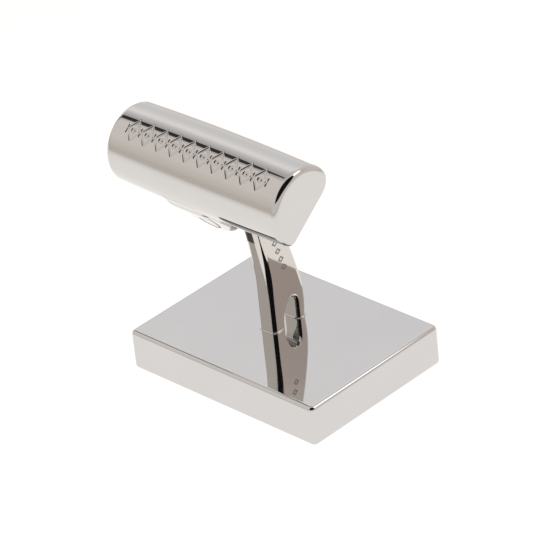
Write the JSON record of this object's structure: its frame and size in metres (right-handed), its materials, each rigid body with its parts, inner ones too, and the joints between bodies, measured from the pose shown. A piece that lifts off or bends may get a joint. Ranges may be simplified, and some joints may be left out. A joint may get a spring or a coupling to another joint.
{
  "type": "swivel-back cufflink",
  "caption": "Polished metal cufflink: thick rectangular face plate, curved fork-footed stem and a D-section toggle bar that swivels on a cross pin.",
  "frame": {"origin": "middle of the face plate's outer (show) face, which lies on Z = 0 with the cufflink standing on it", "axes": "+X along the plate's long side and along the locked toggle towards its D-section half, +Y along the plate's short side away from the toggle's lean, +Z from the face plate up the stem"},
  "size_m": [0.018, 0.0138, 0.0208],
  "materials": {
    "plate_metal": "mirror-polished pale white-metal plating",
    "stem_metal": "polished pale white-metal plating",
    "toggle_metal": null,
    "solder": "plated solder bead",
    "pin_steel": "ground steel",
    "spring_steel": "rolled spring steel"
  },
  "bodies": {
    "post": {"face_plate": "plate_metal", "stem": "stem_metal", "front_solder_seam": "solder", "rear_solder_seam": "solder"},
    "toggle": {"toggle_body": "toggle_metal", "pivot_pin": "pin_steel", "detent_spring": "spring_steel", "spring_rivet": "pin_steel"}
  },
  "joints": [
    {"name": "toggle_swivel", "type": "hinge", "parent": "post", "child": "toggle", "pos_m": [-0.0005, -0.00308, 0.01649], "axis": [0, 0.788, 0.6157], "range_deg": [0, 90], "deforming": ["detent_spring"]}
  ]
}
